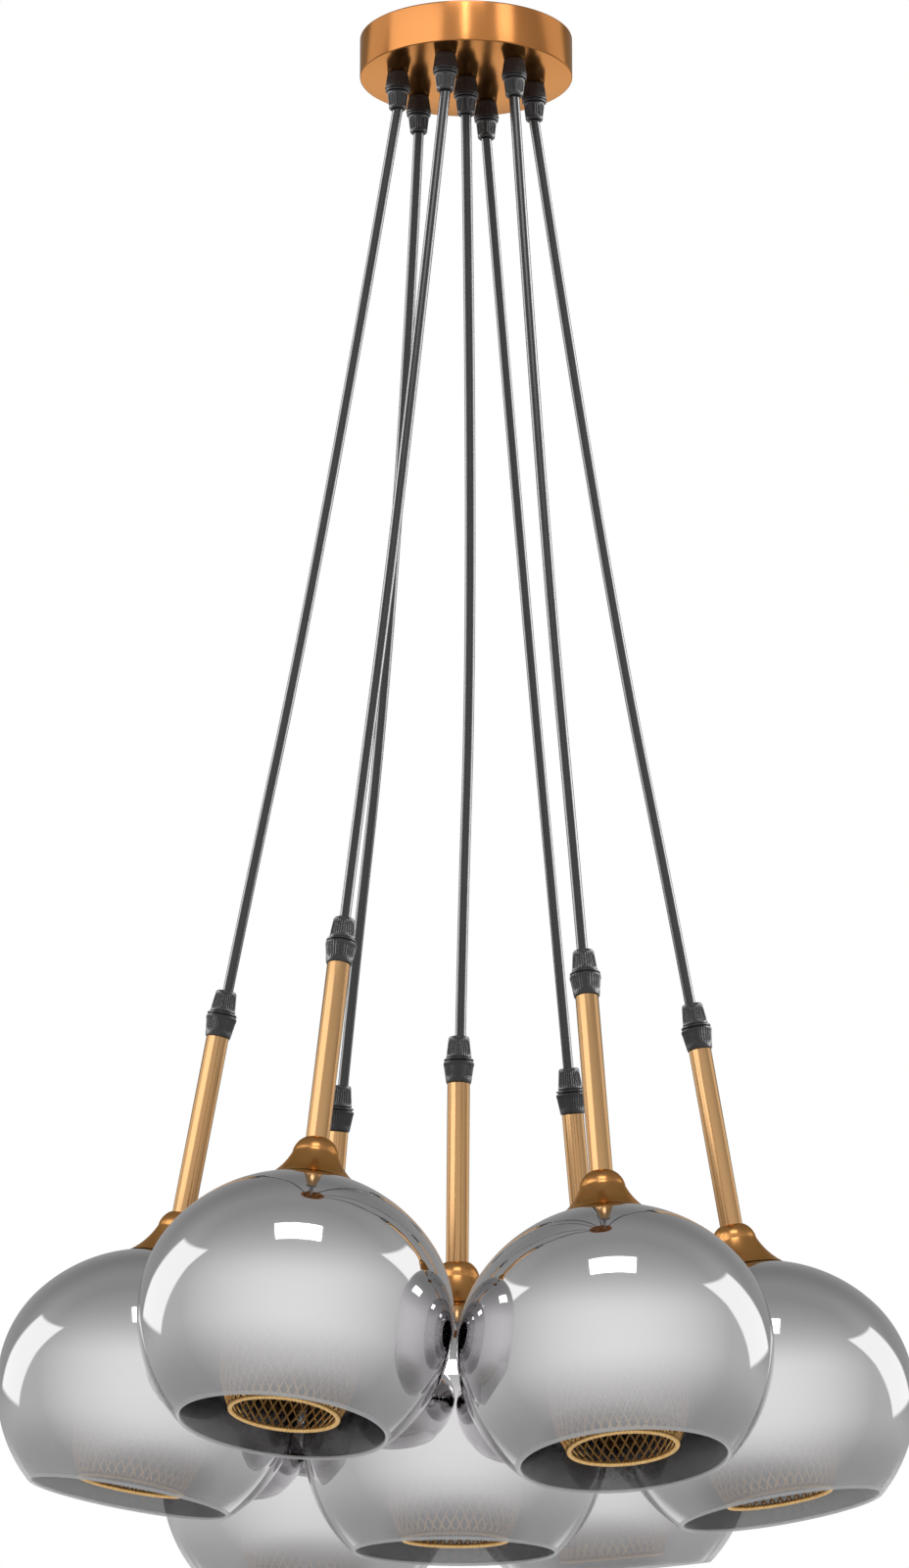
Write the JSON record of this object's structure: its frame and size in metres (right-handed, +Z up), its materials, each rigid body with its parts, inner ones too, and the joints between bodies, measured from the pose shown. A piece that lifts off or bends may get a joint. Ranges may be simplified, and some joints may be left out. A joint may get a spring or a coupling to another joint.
{
  "type": "cluster pendant light",
  "caption": "Cluster ceiling pendant: round brass canopy, black cords, brass stems and smoked glass globes with brass mesh baskets inside.",
  "frame": {"origin": "middle of the canopy's top edge, in the plane of the ceiling", "axes": "+Z up into the ceiling, -Y towards the front of the light, +X to its right"},
  "size_m": [0.5411, 0.4928, 0.9549],
  "materials": {
    "canopy_brass": "fine brushed, copper tinted",
    "pendant_brass": "satin",
    "basket_brass": "bright",
    "smoked_glass": "clear smoke with a mirror coat that fades out towards the rim",
    "cord_jacket": "smooth, soft sheen",
    "grip_plastic": "moulded, satin",
    "holder_plastic": "moulded, satin",
    "zinc_steel": "zinc plated",
    "white_nylon": "moulded"
  },
  "bodies": {
    "canopy": {"canopy_shell": "canopy_brass", "ceiling_bracket": "zinc_steel", "bracket_screws": "canopy_brass", "terminal_block": "white_nylon", "canopy_grip_bodies": "grip_plastic", "canopy_grip_caps": "grip_plastic", "canopy_locknuts": "grip_plastic", "cord_tails": "cord_jacket"},
    "pendant_1": {"glass_globe_1": "smoked_glass", "flared_cap_1": "pendant_brass", "stem_1": "pendant_brass", "cord_1": "cord_jacket", "cord_grip_1": "grip_plastic", "lamp_holder_1": "holder_plastic", "mesh_basket_1": "basket_brass"},
    "pendant_2": {"glass_globe_2": "smoked_glass", "flared_cap_2": "pendant_brass", "stem_2": "pendant_brass", "cord_2": "cord_jacket", "cord_grip_2": "grip_plastic", "lamp_holder_2": "holder_plastic", "mesh_basket_2": "basket_brass"},
    "pendant_3": {"glass_globe_3": "smoked_glass", "flared_cap_3": "pendant_brass", "stem_3": "pendant_brass", "cord_3": "cord_jacket", "cord_grip_3": "grip_plastic", "lamp_holder_3": "holder_plastic", "mesh_basket_3": "basket_brass"},
    "pendant_4": {"glass_globe_4": "smoked_glass", "flared_cap_4": "pendant_brass", "stem_4": "pendant_brass", "cord_4": "cord_jacket", "cord_grip_4": "grip_plastic", "lamp_holder_4": "holder_plastic", "mesh_basket_4": "basket_brass"},
    "pendant_5": {"glass_globe_5": "smoked_glass", "flared_cap_5": "pendant_brass", "stem_5": "pendant_brass", "cord_5": "cord_jacket", "cord_grip_5": "grip_plastic", "lamp_holder_5": "holder_plastic", "mesh_basket_5": "basket_brass"},
    "pendant_6": {"glass_globe_6": "smoked_glass", "flared_cap_6": "pendant_brass", "stem_6": "pendant_brass", "cord_6": "cord_jacket", "cord_grip_6": "grip_plastic", "lamp_holder_6": "holder_plastic", "mesh_basket_6": "basket_brass"},
    "pendant_7": {"glass_globe_7": "smoked_glass", "flared_cap_7": "pendant_brass", "stem_7": "pendant_brass", "cord_7": "cord_jacket", "cord_grip_7": "grip_plastic", "lamp_holder_7": "holder_plastic", "mesh_basket_7": "basket_brass"}
  },
  "joints": [
    {"name": "swing_1", "type": "hinge", "parent": "canopy", "child": "pendant_1", "pos_m": [-0.04248, -0.00981, -0.05014], "axis": [0.0679, 0.9977, 0], "range_deg": [0, 15]},
    {"name": "swing_2", "type": "hinge", "parent": "canopy", "child": "pendant_2", "pos_m": [-0.01275, -0.0417, -0.05014], "axis": [-0.8083, 0.5888, 0], "range_deg": [0, 15]},
    {"name": "swing_3", "type": "hinge", "parent": "canopy", "child": "pendant_3", "pos_m": [0.02974, -0.03189, -0.05014], "axis": [-0.9159, -0.4014, 0], "range_deg": [0, 15]},
    {"name": "swing_4", "type": "hinge", "parent": "canopy", "child": "pendant_4", "pos_m": [0.04248, 0.00981, -0.05014], "axis": [-0.074, -0.9973, 0], "range_deg": [0, 15]},
    {"name": "swing_5", "type": "hinge", "parent": "canopy", "child": "pendant_5", "pos_m": [0.01275, 0.0417, -0.05014], "axis": [0.8485, -0.5292, 0], "range_deg": [0, 15]},
    {"name": "swing_6", "type": "hinge", "parent": "canopy", "child": "pendant_6", "pos_m": [-0.02974, 0.03189, -0.05014], "axis": [0.8819, 0.4714, 0], "range_deg": [0, 15]},
    {"name": "twist_7", "type": "hinge", "parent": "canopy", "child": "pendant_7", "pos_m": [0, 0, -0.05014], "axis": [0.0072, 0, 1], "range_deg": [-90, 90], "stiffness_Nm_per_rad": 0.004}
  ]
}
